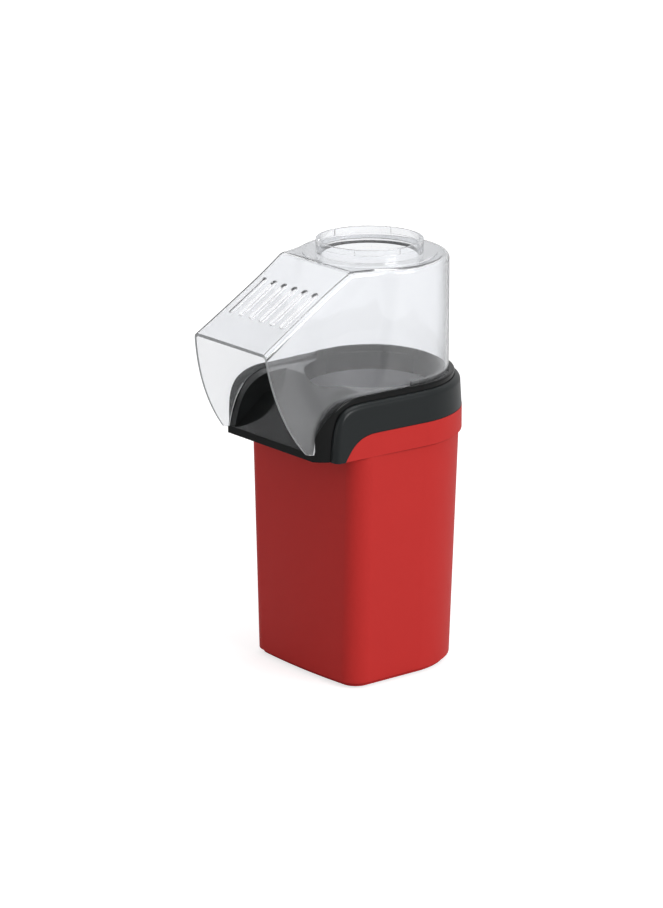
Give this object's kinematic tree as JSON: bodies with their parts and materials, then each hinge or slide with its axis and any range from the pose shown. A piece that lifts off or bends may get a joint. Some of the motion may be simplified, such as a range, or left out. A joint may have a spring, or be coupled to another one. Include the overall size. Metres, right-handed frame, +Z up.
{
  "type": "hot-air popcorn maker",
  "caption": "Hot-air popcorn maker with a tapering housing, a dark crown with a chute lip, a metal popping cup and a clear lift-off hood with a vented slope.",
  "frame": {"origin": "on the table, under the middle of the outer box without a cord", "axes": "+Z up, -Y towards the chute, +X to the right seen from behind the chute"},
  "size_m": [0.1216, 0.1758, 0.285],
  "materials": {
    "red_shell": "satin red moulding",
    "black_gloss": "glossy black moulding",
    "black_satin": "satin dark grey-black moulding",
    "clear": "clear polished moulding",
    "aluminium": "drawn, satin",
    "gasket": "silicone",
    "sheet_steel": "zinc-plated sheet",
    "steel": "zinc-plated",
    "rubber": "moulded",
    "board": "coated board",
    "impeller": "moulded",
    "mica": "pressed mica sheet",
    "resistance_wire": "oxidised resistance wire",
    "ceramic_white": "matt",
    "brass": "tinned tabs"
  },
  "bodies": {
    "body": {"base_plate": "red_shell", "base_screws": "steel", "bracket_screws": "steel", "chamber_cup": "aluminium", "collar_band": "red_shell", "cord_gland": "rubber", "cup_gasket": "gasket", "deck_screws": "steel", "deck_tray": "black_gloss", "fan_housing": "black_satin", "gland_nut": "black_satin", "heater_duct": "sheet_steel", "heating_coils": "resistance_wire", "housing_shell": "red_shell", "mica_frame": "mica", "motor_bracket": "sheet_steel", "motor_can": "sheet_steel", "motor_end_cap": "black_satin", "motor_screws": "steel", "rectifier_board": "board", "rectifier_diodes": "black_satin", "rubber_feet": "rubber", "shoulder_trim": "black_satin", "switch_body": "black_gloss", "switch_terminals": "brass", "thermal_fuse": "ceramic_white", "thermostat": "ceramic_white"},
    "hood": {"hood": "clear"},
    "rotor": {"fan_impeller": "impeller", "motor_shaft": "steel"},
    "rocker": {"switch_rocker": "black_gloss"}
  },
  "joints": [
    {"name": "hood_lift", "type": "slide", "parent": "body", "child": "hood", "axis": [0, 0, 1], "range_m": [0, 0.06]},
    {"name": "fan_spin", "type": "hinge", "parent": "body", "child": "rotor", "pos_m": [0, 0.0271, 0.03], "axis": [0, 0, 1], "continuous": true},
    {"name": "switch_rock", "type": "hinge", "parent": "body", "child": "rocker", "pos_m": [0, 0.0807, 0.044], "axis": [1, 0, 0], "range_deg": [0, 18]}
  ]
}
